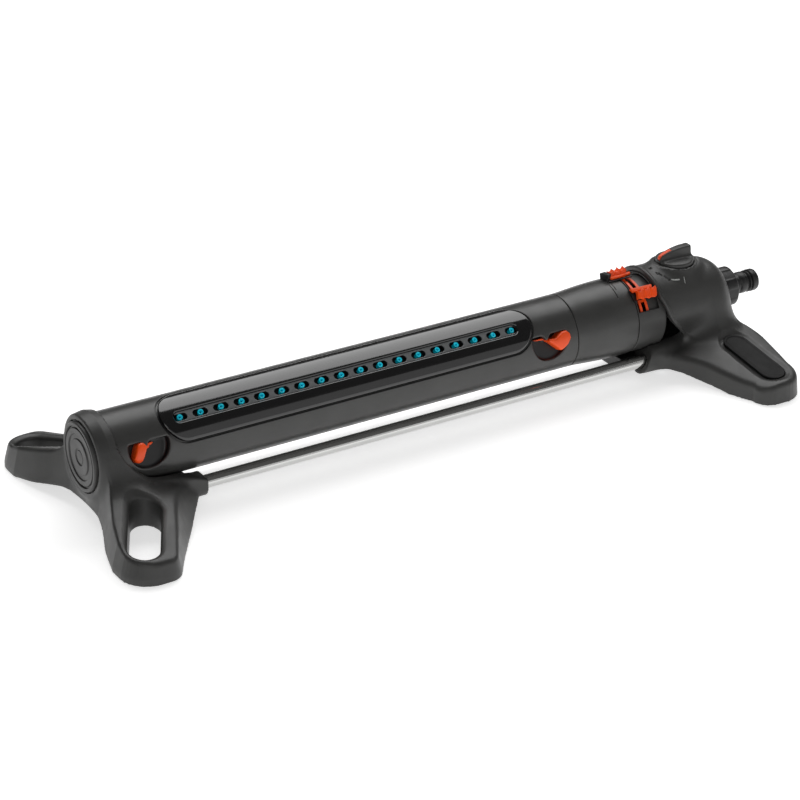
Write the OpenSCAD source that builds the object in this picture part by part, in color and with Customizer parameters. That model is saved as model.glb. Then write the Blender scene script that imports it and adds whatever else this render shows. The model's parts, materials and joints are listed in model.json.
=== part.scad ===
// Oscillating lawn sprinkler: a spray tube that swings between two feet.
// Millimetres, +Z up. X runs along the tube, with the hose inlet at +X.
// The origin is on the ground under the middle of the sprinkler.

/* [Stand] */
// Height of the tube axis above the ground
axis_h = 47; // [45:1:50]
// Width of the feet across the tube
foot_span = 226; // [222:1:240]
// Left end face of the left hub
left_end_x = -286; // [-287:1:-286]
// Outer diameter of the two support rods
rod_d = 10; // [9:1:10]
// Distance between the two rod centres
rod_spacing = 42; // [40:1:44]
// Depth of the rods below the tube axis
rod_drop = 33; // [33:1:34]

/* [Spray tube] */
// Outer diameter of the spray tube
tube_d = 56; // [55.6:0.2:56]
// Wall thickness of the spray tube
tube_wall = 3; // [2.6:0.2:3]
// Swing of the tube from upright, towards the front
rest_swing = 41; // [39:1:43]
// Number of nozzles
nozzle_count = 18; // [16:1:18]
// Distance between nozzles
nozzle_pitch = 16; // [15:0.5:16]
// Tilt of the two outermost nozzles
nozzle_fan = 12; // [0:1:14]
// Bore of a nozzle
nozzle_bore = 1.2; // [0.8:0.1:1.4]

/* [Water motor] */
// Gear module
gear_m = 0.5; // [0.48:0.01:0.5]
// Teeth on each large gear
big_teeth = 36; // [36:1:36]
// Teeth on each pinion
small_teeth = 12; // [12:1:12]
// Turbine blades
blade_count = 10; // [6:1:14]

/* [Hose inlet] */
// Largest diameter of the hose nipple
nipple_d = 17.4; // [16:0.2:17.6]
// Bore of the hose nipple
nipple_bore = 10; // [8:0.5:11]
// Length of the hose nipple beyond the nut
nipple_reach = 24.5; // [22:0.5:24.5]

/* [Hidden] */

tube_r = tube_d / 2;
bore_r = tube_r - tube_wall;
rod_r = rod_d / 2;
rod_z = axis_h - rod_drop;
run = 0.05;              // running clearance on a radius
air = 0.3;               // gap between curved faces of different bodies
round_fn = 96;
hull_fn = 32;

// places along X
tube_x0 = -273.5;
tube_x1 = 111.3;
sleeve_x1 = 165.5;
collar_x0 = 165.9;
collar_x1 = 191;
dome_x0 = 186;
dome_x1 = 258;
recess_x = 254;
knob_x = 218;
inlet_x = 262.6;
nut_x1 = 272;

// nozzle row
row_mid_x = -81;
nozzle_mid_x = -79.4;
row_len = (nozzle_count - 1) * nozzle_pitch;
slot_len = row_len + 15;
slot_half = 6.3;
panel_len = 306;
panel_half = 19;
panel_mid_x = -79.2;
panel_angle = 36.5;

// width levers
lever_angle = 71;
lever_left_x = -244.5;
lever_right_x = 86.5;
pocket_r = 16.2;
pocket_back = 4.6;

// gears
big_r = gear_m * big_teeth / 2;
small_r = gear_m * small_teeth / 2;
arbor_gap = big_r + small_r;
arbor_r = 0.9;
arbor_side = rest_swing + 180;
trip_r = 17.5;

// ---------- shared helpers ----------

// children drawn about the tube axis, upright, are turned towards the front
module at_swing(angle) {
    translate([0, 0, axis_h]) rotate([angle, 0, 0]) children();
}

// a round bar or ring along X on the tube axis
module ring_x(x0, x1, outer, inner = 0) {
    translate([x0, 0, axis_h]) rotate([0, 90, 0]) difference() {
        cylinder(h = x1 - x0, r = outer, $fn = round_fn);
        if (inner > 0) {
            translate([0, 0, -1])
                cylinder(h = x1 - x0 + 2, r = inner, $fn = round_fn);
        }
    }
}

// a bar along X at any height and side
module bar_x(x0, x1, y, z, r) {
    translate([x0, y, z]) rotate([0, 90, 0]) cylinder(h = x1 - x0, r = r, $fn = round_fn);
}

// part of a ring between two angles, measured from upright towards the front
module arc_x(x0, x1, outer, inner, a0, a1) {
    translate([x0, 0, axis_h]) rotate([0, 90, 0]) rotate([0, 0, 180 + a0])
        rotate_extrude(angle = a1 - a0, $fn = round_fn)
            translate([inner, 0]) square([outer - inner, x1 - x0]);
}

// a turned shape about the tube axis from [x, radius] points
module turned_x(points) {
    translate([0, 0, axis_h]) rotate([0, 90, 0])
        rotate_extrude($fn = round_fn)
            polygon([for (p = points) [p[1], p[0]]]);
}

// a bar with round ends along X, standing up from z0
module capsule(x_mid, len, half, z0, z1) {
    straight = len - 2 * half;
    translate([x_mid, 0, z0]) linear_extrude(z1 - z0) {
        square([straight, 2 * half], center = true);
        for (side = [-1, 1])
            translate([side * straight / 2, 0]) circle(r = half, $fn = round_fn);
    }
}

module gear(teeth, width, hole) {
    step = 360 / teeth;
    root = gear_m * (teeth / 2 - 1.1);
    tip = gear_m * (teeth / 2 + 0.8);
    linear_extrude(width) difference() {
        polygon([
            for (i = [0:teeth - 1])
                for (p = [[-0.27, root], [-0.12, tip], [0.12, tip], [0.27, root]])
                    p[1] * [cos(step * (i + p[0])), sin(step * (i + p[0]))]
        ]);
        if (hole > 0) circle(r = hole, $fn = round_fn);
    }
}

// a gear on the tube axis: a tooth points at the side shaft
module main_gear(teeth, x0, x1, hole) {
    translate([x0, 0, axis_h]) rotate([0, 90, 0])
        rotate([0, 0, 180 + arbor_side]) gear(teeth, x1 - x0, hole);
}

// a gear on the side shaft: a gap points at the tube axis
module side_gear(teeth, x0, x1, hole) {
    at_swing(arbor_side) translate([x0, 0, arbor_gap]) rotate([0, 90, 0])
        rotate([0, 0, 180 / teeth]) gear(teeth, x1 - x0, hole);
}

// a bar along X on the side shaft
module side_bar(x0, x1, r) {
    at_swing(arbor_side) translate([x0, 0, arbor_gap]) rotate([0, 90, 0])
        cylinder(h = x1 - x0, r = r, $fn = round_fn);
}

// ---------- feet ----------

// each tip is a large outer round with a smaller one towards the sprinkler's middle
tip_r = 22;
toe_r = 13;
tip_y = foot_span / 2 - tip_r;
toe_y = foot_span / 2 - toe_r - 0.5;
left_tip_x = -280;
left_toe_x = -274;
right_tip_x = 244.5;
right_toe_x = 235.5;
skirt_h = 13;
tip_h = 17;
arch_rise = 16;

module tip_round(x, y, r) {
    translate([x, -y, 0]) cylinder(h = skirt_h, r = r, $fn = hull_fn);
    translate([x, -y + 1, 0]) cylinder(h = tip_h, r = r - 5, $fn = hull_fn);
}

module leg(tip_x, toe_x, root_x0, root_x1, root_z) {
    hull() {
        tip_round(tip_x, tip_y, tip_r);
        tip_round(toe_x, toe_y, toe_r);
        translate([root_x0, -32, arch_rise])
            cube([root_x1 - root_x0, 12, root_z - arch_rise]);
    }
}

module both_sides() {
    children();
    mirror([0, 1, 0]) children();
}

// rod sockets, bored for the rods, with a screw hole from below
module rod_socket(x0, x1) {
    bar_x(x0, x1, -rod_spacing / 2, rod_z, rod_r + 4);
    translate([x0, -rod_spacing / 2 - rod_r - 4, rod_z])
        cube([x1 - x0, 2 * rod_r + 8, 12]);
}

module rod_bores(x0, x1, screw_x) {
    bar_x(x0, x1, -rod_spacing / 2, rod_z, rod_r + run);
    translate([screw_x, -rod_spacing / 2, 0]) cylinder(h = rod_z, r = 1.7, $fn = 48);
    translate([screw_x, -rod_spacing / 2, 0]) cylinder(h = rod_z - 8, r = 3.4, $fn = 48);
}

module leg_hole() {
    translate([-273, -72, -1]) rotate([0, 0, 63]) capsule(0, 68, 11, 0, 60);
}

module left_foot() {
    color("#3f4142") difference() {
        union() {
            turned_x([[-285, 0], [-285, 28], [-275, 31.2], [-268, 29.6], [-268, 0]]);
            both_sides() leg(left_tip_x, left_toe_x, -284, -207, 31);
            translate([-284, -26, arch_rise]) cube([80, 52, 18]);
            both_sides() rod_socket(-236, -204);
        }
        ring_x(-276, -150, tube_r + air);
        ring_x(-290, -282.5, 25.4);
        ring_x(-290, -270, 12);
        both_sides() rod_bores(-232, -200, -222);
        both_sides() leg_hole();
        cap_pegs(2.05);
    }
}

module cap_pegs(r) {
    for (a = [45:90:315])
        at_swing(a) translate([-283, 0, 18.5]) rotate([0, 90, 0])
            cylinder(h = 2.5 + r - 2, r = r, $fn = 48);
}

module left_cap() {
    color("#3a3c3d") difference() {
        union() {
            ring_x(left_end_x, -282.6, 25.3);
            cap_pegs(2);
        }
        ring_x(left_end_x - 1, left_end_x + 1, 16.6, 13.4);
        ring_x(-284.4, -280, 12.3);
    }
}

module left_bearing() {
    color("#e6e2d6") {
        difference() {
            ring_x(-284, -276, 12, 8 + run);
            for (a = [0:90:270])
                at_swing(a) translate([-285, -0.8, 7]) cube([10, 1.6, 2.2]);
        }
    }
}

module dome_cut() {
    translate([0, 60, 0]) rotate([90, 0, 0]) linear_extrude(120)
        polygon([[170, 70], [dome_x0, 70], [190, 55], [198, 41], [212, 27],
                 [212, 19.5], [170, 19.5]]);
}

module right_foot() {
    color("#3f4142") difference() {
        union() {
            difference() {
                turned_x([[dome_x0, 0], [dome_x0, 33.3], [225, 31.8], [240, 30.2],
                          [247, 28.6], [251.5, 26.2], [255, 23.2], [257.4, 20.4],
                          [dome_x1, 18.6], [dome_x1, 0]]);
                dome_cut();
            }
            translate([knob_x, 0, axis_h]) cylinder(h = 32, r = 17.5, $fn = round_fn);
            both_sides() leg(right_tip_x, right_toe_x, 194, 255, 33);
            translate([188, -26, arch_rise]) cube([70, 52, 12]);
            both_sides() rod_socket(174, 206);
        }
        ring_x(160, 192, 30);
        ring_x(191, 244, 27);
        ring_x(240, 270, 12.1);
        ring_x(recess_x, 270, 17.2);
        translate([knob_x, 0, axis_h]) cylinder(h = 40, r = 4.5, $fn = round_fn);
        translate([knob_x, 0, axis_h + 32.1]) cylinder(h = 8, r = 16.4, $fn = round_fn);
        both_sides() rod_bores(170, 204, 195);
        right_badge_pocket(0.15);
    }
}

module badge_plan(grow) {
    for (side = [-1, 1])
        translate([side * 18, 0]) circle(r = 10 + grow, $fn = round_fn);
    square([36, 20 + 2 * grow], center = true);
}

module badge_place() {
    translate([243, -75, 23.8]) rotate([12, 0, 0]) rotate([0, 0, 94]) children();
}

module right_badge_pocket(grow) {
    badge_place() translate([0, 0, -2.4]) linear_extrude(20) badge_plan(grow);
}

module right_badge() {
    color("#303233") badge_place() translate([0, 0, -2.3]) linear_extrude(1.6)
        badge_plan(0);
}

module rod(side) {
    color("#d9dcdf") difference() {
        bar_x(-231, 203, side * rod_spacing / 2, rod_z, rod_r);
        bar_x(-232, 204, side * rod_spacing / 2, rod_z, rod_r - 0.8);
        for (x = [-222, 195])
            translate([x, side * rod_spacing / 2, rod_z - rod_r - 1])
                cylinder(h = 4, r = 1.7, $fn = 48);
    }
}

module support_rod_front() {
    rod(-1);
}

module support_rod_rear() {
    rod(1);
}

module rod_bridge() {
    color("#202122") difference() {
        union() {
            translate([159, -17.6, 7]) cube([14.6, 35.2, 11.2]);
            translate([173, -11.6, 7]) cube([12.6, 23.2, 10]);
        }
        both_sides() bar_x(150, 190, -rod_spacing / 2, rod_z, rod_r + run);
        ring_x(150, 190, tube_r + 2.4);
    }
}

module foot_screws() {
    color("#b9bcbf")
        for (x = [-222, 195])
            both_sides() translate([x, -rod_spacing / 2, 0]) difference() {
                union() {
                    translate([0, 0, 3.6]) cylinder(h = 2.3, r = 3, $fn = 48);
                    translate([0, 0, 5]) cylinder(h = 8, r = 1.5, $fn = 48);
                }
                translate([0, 0, 3]) linear_extrude(1.6) {
                    square([3.4, 0.8], center = true);
                    square([0.8, 3.4], center = true);
                }
            }
}

// ---------- hose inlet and valve ----------

module range_collar() {
    color("#3b3d3e") difference() {
        ring_x(collar_x0, collar_x1, 29.7, 26);
        ring_x(168.4, 188.4, 28.7, 27.3);
        arc_x(166.8, 185.6, 32, 27.6, -72, 66);
        arc_x(168.8, 177, 27.5, 25, -82, 76);
    }
}

module inlet_stem() {
    color("#5a5d60") difference() {
        union() {
            ring_x(143, 206, 10);
            ring_x(136, 143.5, 3);
            ring_x(177.5, 181, 25.8);
            ring_x(181, 206, 13);
        }
        ring_x(145.5, 207, 7);
        for (a = [45:90:315])
            at_swing(a) translate([148.4, 0, 0]) cylinder(h = 14, r = 1.3, $fn = 48);
        for (a = [0:60:300])
            at_swing(a) translate([176, 0, 19.5]) rotate([0, 90, 0])
                cylinder(h = 8, r = 3.5, $fn = 48);
    }
}

module sun_gear() {
    color("#efece2") main_gear(big_teeth, 136.2, 139.8, 3);
}

module valve_body() {
    color("#4a4d50") difference() {
        union() {
            ring_x(206.1, recess_x + 0.2, 12);
            ring_x(recess_x, inlet_x, 12.8);
            translate([knob_x, 0, axis_h]) sphere(r = 13.5, $fn = round_fn);
            translate([knob_x, 0, axis_h]) cylinder(h = 26, r = 7.5, $fn = round_fn);
        }
        ring_x(200, 280, 7);
        translate([knob_x, 0, axis_h]) sphere(r = 10.3, $fn = round_fn);
        translate([knob_x, 0, axis_h]) cylinder(h = 30, r = 4 + run, $fn = round_fn);
        translate([knob_x, 0, axis_h + 18]) cylinder(h = 3, r = 6, $fn = round_fn);
        ring_x(inlet_x - 4, 280, 9);
    }
}

module valve_ball() {
    color("#cfd2d4") difference() {
        union() {
            translate([knob_x, 0, axis_h]) sphere(r = 10, $fn = round_fn);
            translate([knob_x, 0, axis_h]) cylinder(h = 37, r = 4, $fn = round_fn);
        }
        translate([knob_x - 14, 0, axis_h]) rotate([0, 90, 0])
            cylinder(h = 28, r = 5.5, $fn = round_fn);
    }
}

module spindle_seal() {
    color("#1b1b1b") translate([knob_x, 0, axis_h + 19.5])
        rotate_extrude($fn = round_fn) translate([4.97, 0]) circle(r = 0.9, $fn = 32);
}

knob_place = [knob_x, 0, axis_h + 32];

// the knob's wing: a slab cut to a round plan and a crowned top
module knob_wing(half_y, inset) {
    intersection() {
        translate([-16, -half_y, 3]) cube([32, 2 * half_y, 12]);
        translate([0, 0, 3]) cylinder(h = 12, r = 15.6 - inset, $fn = round_fn);
        translate([3, 8, -17]) rotate([90, 0, 0])
            cylinder(h = 16, r = 30 - inset, $fn = round_fn);
    }
}

// an L-shaped inlay over the wing's left end and the left of its top
module pointer_inlay(gap) {
    difference() {
        intersection() {
            knob_wing(1.2 + gap, 0);
            translate([-20, -5, 5 - gap]) cube([17 + gap, 10, 12]);
        }
        knob_wing(3, 1.5 + gap);
    }
}

module flow_knob() {
    color("#3a3c3d") translate(knob_place) difference() {
        union() {
            translate([0, 0, 0.4]) cylinder(h = 4, r = 16, $fn = round_fn);
            knob_wing(3.6, 0);
        }
        cylinder(h = 5, r = 4.02, $fn = round_fn);
        pointer_inlay(0.03);
    }
}

module knob_pointer() {
    color("#f2591d") translate(knob_place) pointer_inlay(0);
}

module inlet_strainer() {
    color("#d8d4c4") difference() {
        union() {
            ring_x(inlet_x - 2, inlet_x, 8.8, 6);
            ring_x(inlet_x - 12, inlet_x - 1.5, 6.6, 5.8);
            ring_x(inlet_x - 13, inlet_x - 11.8, 6.6);
        }
        for (a = [0:45:315])
            at_swing(a) translate([inlet_x - 10.6, -0.7, 4]) cube([8, 1.4, 4]);
    }
}

module inlet_washer() {
    color("#1b1b1b") ring_x(inlet_x + 0.05, inlet_x + 2, 11.6, 6.2);
}

nipple_x0 = inlet_x + 2.1;
nipple_x1 = nut_x1 + nipple_reach;

module hose_nipple() {
    nr = nipple_d / 2;
    color("#161718") difference() {
        union() {
            ring_x(nipple_x0, nipple_x0 + 2.4, 11.6);
            ring_x(nipple_x0, nut_x1 + 9, 7.4);
            ring_x(nut_x1 + 8, nut_x1 + 14, nr - 0.3);
            ring_x(nut_x1 + 13, nipple_x1 - 2, 7.2);
            ring_x(nut_x1 + 15.6, nut_x1 + 17, nr - 0.2);
            turned_x([[nut_x1 + 18, 0], [nut_x1 + 18, nr], [nipple_x1 - 1.4, nr],
                      [nipple_x1, nr - 1.4], [nipple_x1, 0]]);
        }
        ring_x(nipple_x0 - 1, nipple_x1 + 1, nipple_bore / 2);
    }
}

module union_nut() {
    color("#1c1d1e") difference() {
        union() {
            ring_x(recess_x + 0.6, nut_x1, 15.6);
            for (a = [0:18:342])
                at_swing(a) translate([dome_x1 + 1, 0, 15.1]) rotate([0, 90, 0])
                    cylinder(h = nut_x1 - dome_x1 - 2, r = 1.3, $fn = 24);
        }
        ring_x(250, inlet_x + 4.7, 12.9);
        ring_x(250, 290, 7.6);
    }
}

// ---------- spray tube ----------

module pocket_plan(r) {
    intersection() {
        circle(r = r, $fn = round_fn);
        translate([-20, -40 + pocket_back + r - pocket_r]) square([40, 40]);
    }
}

// the space in which a width lever sweeps; the plan's -Y points downwards
module lever_pocket(x, r, z0, z1) {
    at_swing(lever_angle) translate([x, 0, z0]) linear_extrude(z1 - z0) pocket_plan(r);
}

module slot_cut(grow, z0, z1) {
    at_swing(rest_swing) capsule(row_mid_x, slot_len + 2 * grow, slot_half + grow, z0, z1);
}

module panel_block(grow) {
    at_swing(panel_angle)
        capsule(panel_mid_x, panel_len + 2 * grow, panel_half + grow, 12, 36);
}

module pocket_cup(x) {
    intersection() {
        lever_pocket(x, pocket_r + 1.6, 19, 30);
        ring_x(-272, 111, tube_r - 0.5);
    }
    for (end = [-1, 1])
        at_swing(lever_angle) translate([x + end * 10 - 1, -10.2, 15.4]) cube([2, 1.4, 4]);
}

module tube_shell() {
    color("#46484a") difference() {
        union() {
            ring_x(tube_x0, tube_x1, tube_r, bore_r);
            for (x = [lever_left_x, lever_right_x]) pocket_cup(x);
        }
        for (x = [lever_left_x, lever_right_x]) {
            lever_pocket(x, pocket_r, 21, 40);
            at_swing(lever_angle) translate([x, 0, 10])
                cylinder(h = 20, r = 2 + run, $fn = 48);
        }
        intersection() {
            panel_block(0.15);
            ring_x(-240, 90, tube_r + 1, tube_r - 0.9);
        }
        slot_cut(0.1, 15, 40);
    }
}

module trim_panel() {
    color("#0d0e0f") difference() {
        intersection() {
            panel_block(0);
            ring_x(-240, 90, tube_r + 1.2, tube_r - 0.8);
        }
        slot_cut(0, 15, 40);
    }
}

function nozzle_x(i) = nozzle_mid_x + (i - (nozzle_count - 1) / 2) * nozzle_pitch;
function nozzle_tilt(i) = nozzle_fan * (2 * i / (nozzle_count - 1) - 1);

module nozzle_insert() {
    color("#54575a") difference() {
        slot_cut(-0.2, 23.7, 28.2);
        for (i = [0:nozzle_count - 1])
            at_swing(rest_swing) capsule(nozzle_x(i) + nozzle_tilt(i) / 10, 12, 2.8, 22, 30);
    }
}

module nozzle_strip() {
    color("#232526") difference() {
        at_swing(rest_swing) capsule(row_mid_x, slot_len + 2, 7.4, 20.6, 23.4);
        for (i = [0:nozzle_count - 1])
            nozzle_place(i) translate([0, 0, -5]) cylinder(h = 10, r = 1.55, $fn = 32);
    }
}

module nozzle_place(i) {
    at_swing(rest_swing) translate([nozzle_x(i), 0, 22]) rotate([0, nozzle_tilt(i), 0])
        children();
}

module spray_nozzles() {
    color("#19a7b8")
        for (i = [0:nozzle_count - 1])
            nozzle_place(i) difference() {
                union() {
                    translate([0, 0, -3]) cylinder(h = 8, r = 1.5, $fn = 32);
                    translate([0, 0, 3.6]) cylinder(h = 1.6, r = 2.1, $fn = 32);
                }
                translate([0, 0, -4]) cylinder(h = 12, r = nozzle_bore / 2, $fn = 32);
            }
}

module water_channel() {
    left = row_mid_x - slot_len / 2 - 2;
    long = slot_len + 5;
    color("#2b2d2f") at_swing(rest_swing) difference() {
        translate([left, -9, 8]) cube([long, 18, 12.4]);
        translate([left + 2, -7, 10]) cube([long, 14, 12]);
    }
}

module left_journal() {
    color("#33363a") difference() {
        union() {
            ring_x(-273.4, -264, bore_r - 0.1);
            ring_x(-283, -273, 8);
        }
        ring_x(-271, -260, bore_r - 3);
        ring_x(-284, -270, 4);
    }
}

module range_sleeve() {
    color("#46484a") difference() {
        turned_x([[111.6, 0], [111.6, tube_r], [148, 30], [sleeve_x1, 29.8],
                  [sleeve_x1, 0]]);
        ring_x(100, 170, bore_r);
    }
}

module bearing_hub() {
    color("#5c6063") difference() {
        union() {
            ring_x(154, 163.4, bore_r - 0.1);
            ring_x(150, 155, 14);
        }
        ring_x(140, 170, 10 + run);
        ring_x(157.5, 160.5, 12.6);
        at_swing(rest_swing) translate([150, 0, trip_r]) rotate([0, 90, 0])
            cylinder(h = 20, r = 1.5 + run, $fn = 48);
    }
}

module hub_seal() {
    color("#1b1b1b") translate([159, 0, axis_h]) rotate([0, 90, 0])
        rotate_extrude($fn = round_fn) translate([11.3, 0]) circle(r = 1.2, $fn = 32);
}

// ---------- water motor ----------

case_r = 11.4;

module case_block(x0, x1, r) {
    at_swing(arbor_side) translate([x0, 0, 0]) rotate([0, 90, 0]) linear_extrude(x1 - x0) {
        circle(r = r, $fn = round_fn);
        translate([-arbor_gap, 0]) circle(r = r, $fn = round_fn);
        translate([-arbor_gap / 2, 0]) square([arbor_gap, 2 * r], center = true);
    }
}

module gear_case() {
    color("#a3a7aa") difference() {
        case_block(118, 140.6, case_r);
        case_block(120, 141, case_r - 1.4);
        ring_x(110, 130, 2 + run);
        side_bar(119, 125, arbor_r);
    }
}

module gear_case_lid() {
    color("#8f9396") difference() {
        case_block(140.7, 142.7, case_r);
        ring_x(138, 150, 3 + run);
        side_bar(139, 150, arbor_r);
    }
}

module gear_arbors() {
    color("#c9ccd0") {
        side_bar(119, 142.6, arbor_r - 0.01);
        ring_x(98.2, 135.6, arbor_r - 0.01);
    }
}

module first_wheel() {
    color("#efece2") {
        side_gear(small_teeth, 135, 139.8, arbor_r + run);
        side_gear(big_teeth, 131.6, 135, arbor_r + run);
    }
}

module second_wheel() {
    color("#efece2") {
        main_gear(small_teeth, 130, 135.2, arbor_r + run);
        main_gear(big_teeth, 126.8, 130.2, arbor_r + run);
    }
}

module third_wheel() {
    color("#efece2") {
        side_gear(small_teeth, 125, 130.4, arbor_r + run);
        side_gear(big_teeth, 121.8, 125.2, arbor_r + run);
    }
}

module turbine() {
    color("#d98b2b") difference() {
        union() {
            main_gear(small_teeth, 121.2, 126.2, 0);
            ring_x(103.2, 122, 2);
            ring_x(104, 112.6, 4);
            for (a = [0:360 / blade_count:359])
                at_swing(a) translate([104.4, -0.5, 3]) cube([7.6, 1, 9.6]);
        }
        ring_x(100, 130, arbor_r + run);
    }
}

module jet_plate() {
    color("#7d8285") difference() {
        ring_x(114.2, 116.2, bore_r - 0.1);
        ring_x(110, 120, 3);
        for (a = [20, 62, 200, 242])
            at_swing(a) translate([112, -1.6, 9]) cube([6, 3.2, 4.5]);
        at_swing(rest_swing) translate([112, 0, trip_r]) rotate([0, 90, 0])
            cylinder(h = 6, r = 1.5 + run, $fn = 48);
    }
}

module turbine_spider() {
    color("#7d8285") difference() {
        union() {
            ring_x(98, 101, 4);
            ring_x(98, 101, bore_r - 0.1, bore_r - 2.5);
            for (a = [0:120:240])
                at_swing(rest_swing + a) translate([98, -1.5, 2]) cube([3, 3, bore_r - 3]);
        }
        ring_x(90, 110, arbor_r);
        lever_pocket(lever_right_x, pocket_r + 1.8, 18.8, 30);
    }
}

module trip_lever() {
    color("#c7471c") at_swing(rest_swing) {
        translate([113.4, 0, trip_r]) rotate([0, 90, 0])
            cylinder(h = 61.6, r = 1.5, $fn = 48);
        translate([164, 0, trip_r]) rotate([0, 90, 0]) cylinder(h = 2.6, r = 3, $fn = 48);
        translate([171, -1.5, trip_r]) cube([3.2, 3, 7]);
        translate([171, 0, trip_r]) rotate([0, 90, 0]) cylinder(h = 3.2, r = 3, $fn = 48);
    }
}

module diverter_flap() {
    color("#efece2") at_swing(rest_swing) difference() {
        union() {
            translate([116.5, -3.2, 12.4]) cube([1.2, 6.4, 6]);
            translate([116.5, 0, trip_r]) rotate([0, 90, 0])
                cylinder(h = 3, r = 3, $fn = 48);
        }
        translate([110, 0, trip_r]) rotate([0, 90, 0]) cylinder(h = 12, r = 1.5, $fn = 48);
    }
}

// a flat over-centre spring on the hub, beside the trip shaft
module trip_spring() {
    color("#b9bcbf") at_swing(rest_swing) {
        for (side = [-1, 1])
            translate([163.7, side * 3.5 - 0.25, 12.8]) cube([3, 0.5, 9]);
        translate([163.7, -3.75, 12.6]) cube([3, 7.5, 0.5]);
    }
}

// ---------- width levers ----------

handle_x = 9;
handle_drop = 3;
handle_half = 4;
rack_r = 3.5;

// drawn with the handle at the side given by sense (-1 left, 1 right)
module width_lever(x, sense) {
    color("#f2591d") difference() {
        at_swing(lever_angle) translate([x, 0, 0]) {
            translate([0, 0, 15.4]) cylinder(h = 6, r = 2, $fn = 48);
            translate([0, 0, 21.2]) cylinder(h = 3.2, r = 3.6, $fn = 48);
            translate([0, 0, 15.4]) gear(14, 3, 0);
            translate([sense * handle_x / 2, -handle_drop / 2, 22.5])
                cube([handle_x, 3, 2.4], center = true);
            intersection() {
                translate([sense * handle_x, -handle_drop, 21.4]) linear_extrude(12) {
                    for (end = [-1, 1])
                        translate([0, end * 2.6]) circle(r = handle_half, $fn = round_fn);
                    square([2 * handle_half, 5.2], center = true);
                }
                translate([-30, 0, 0]) rotate([0, 90, 0])
                    cylinder(h = 60, r = tube_r + 3, $fn = round_fn);
            }
        }
    }
}

module width_lever_left() {
    width_lever(lever_left_x, -1);
}

module width_lever_right() {
    width_lever(lever_right_x, 1);
}

// a toothed bar that pulls one end of the nozzle strip
module spread_slide(x, sense) {
    pitch = 3.14159 * gear_m;
    color("#2f3133") at_swing(lever_angle) translate([x, 0, 15.5]) {
        difference() {
            translate([-13, -8.6, 0]) cube([26, 4, 2.8]);
            translate([sense * 9, -6.6, -1]) cylinder(h = 6, r = 1, $fn = 32);
        }
        for (i = [-7:7])
            translate([i * pitch, -4.8, 0]) linear_extrude(2.8)
                polygon([[-0.42, 0], [0.42, 0], [0.18, 1.5], [-0.18, 1.5]]);
    }
}

module spread_slide_left() {
    spread_slide(lever_left_x, -1);
}

module spread_slide_right() {
    spread_slide(lever_right_x, 1);
}

// ---------- range sliders ----------

// ribbed thumb tab; the neck joins it to its carriage
module range_tab(x0, x1, mid, half) {
    difference() {
        arc_x(x0, x1, 34.2, 31.4, mid - half, mid + half);
        for (a = [-0.5, 0, 0.5])
            at_swing(mid + a * half) translate([x0 - 1, -0.7, 33.5])
                cube([x1 - x0 + 2, 1.4, 3]);
    }
}

// a plate under the tab, slotted for the carriage's neck
module range_cheek(x0, x1, ring_x0, mid, half) {
    color("#202122") difference() {
        arc_x(x0, x1, 31.3, 30.3, mid - half, mid + half);
        arc_x(ring_x0 - 0.05, ring_x0 + 2.05, 32, 29, mid - half * 0.7 - 0.2,
              mid + half * 0.7 + 0.2);
    }
}

// a hoop that turns in the collar, with a neck up to the tab and a nose that
// the trip lever strikes
module range_carriage(ring_x0, mid, half, nose) {
    color("#f2591d") {
        ring_x(ring_x0, ring_x0 + 2, 28.3, 27.5);
        arc_x(ring_x0, ring_x0 + 2, 31.4, 28, mid - half * 0.7, mid + half * 0.7);
        arc_x(min(ring_x0, 171.4), max(ring_x0 + 2, 173.6), 27.7, 25.2, nose, nose + 5);
    }
}

module range_tab_front() {
    color("#f2591d") range_tab(165, 184.8, 39, 9);
}

module range_cheek_front() {
    range_cheek(164.2, 184.4, 174.6, 39, 9.5);
}

module range_carriage_front() {
    range_carriage(174.6, 39, 9.5, 46);
}

module range_tab_top() {
    color("#f2591d") range_tab(158, 177, -4, 9);
}

module range_cheek_top() {
    range_cheek(155.6, 176.6, 169.2, -4, 9.5);
}

module range_carriage_top() {
    range_carriage(169.2, -4, 9.5, -16);
}

left_foot();
left_cap();
left_bearing();
right_foot();
right_badge();
range_collar();
inlet_stem();
valve_body();
sun_gear();
support_rod_front();
support_rod_rear();
rod_bridge();
foot_screws();
hose_nipple();
inlet_washer();
inlet_strainer();
flow_knob();
knob_pointer();
valve_ball();
spindle_seal();
tube_shell();
trim_panel();
nozzle_insert();
nozzle_strip();
spray_nozzles();
water_channel();
left_journal();
range_sleeve();
bearing_hub();
hub_seal();
gear_case();
gear_case_lid();
gear_arbors();
jet_plate();
turbine_spider();
width_lever_left();
width_lever_right();
spread_slide_left();
spread_slide_right();
range_tab_front();
range_cheek_front();
range_carriage_front();
range_tab_top();
range_cheek_top();
range_carriage_top();
first_wheel();
second_wheel();
third_wheel();
turbine();
trip_lever();
diverter_flap();
trip_spring();
union_nut();
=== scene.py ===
"""Looks of the oscillating lawn sprinkler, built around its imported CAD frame.

Moulded shapes are written as distance fields in millimetres (negative inside) and
meshed by solid(). Angles about the tube axis are in degrees from straight up towards -Y.
"""

import json
import math

import bmesh
import bpy
import numpy as np
from mathutils import Matrix, Vector


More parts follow.
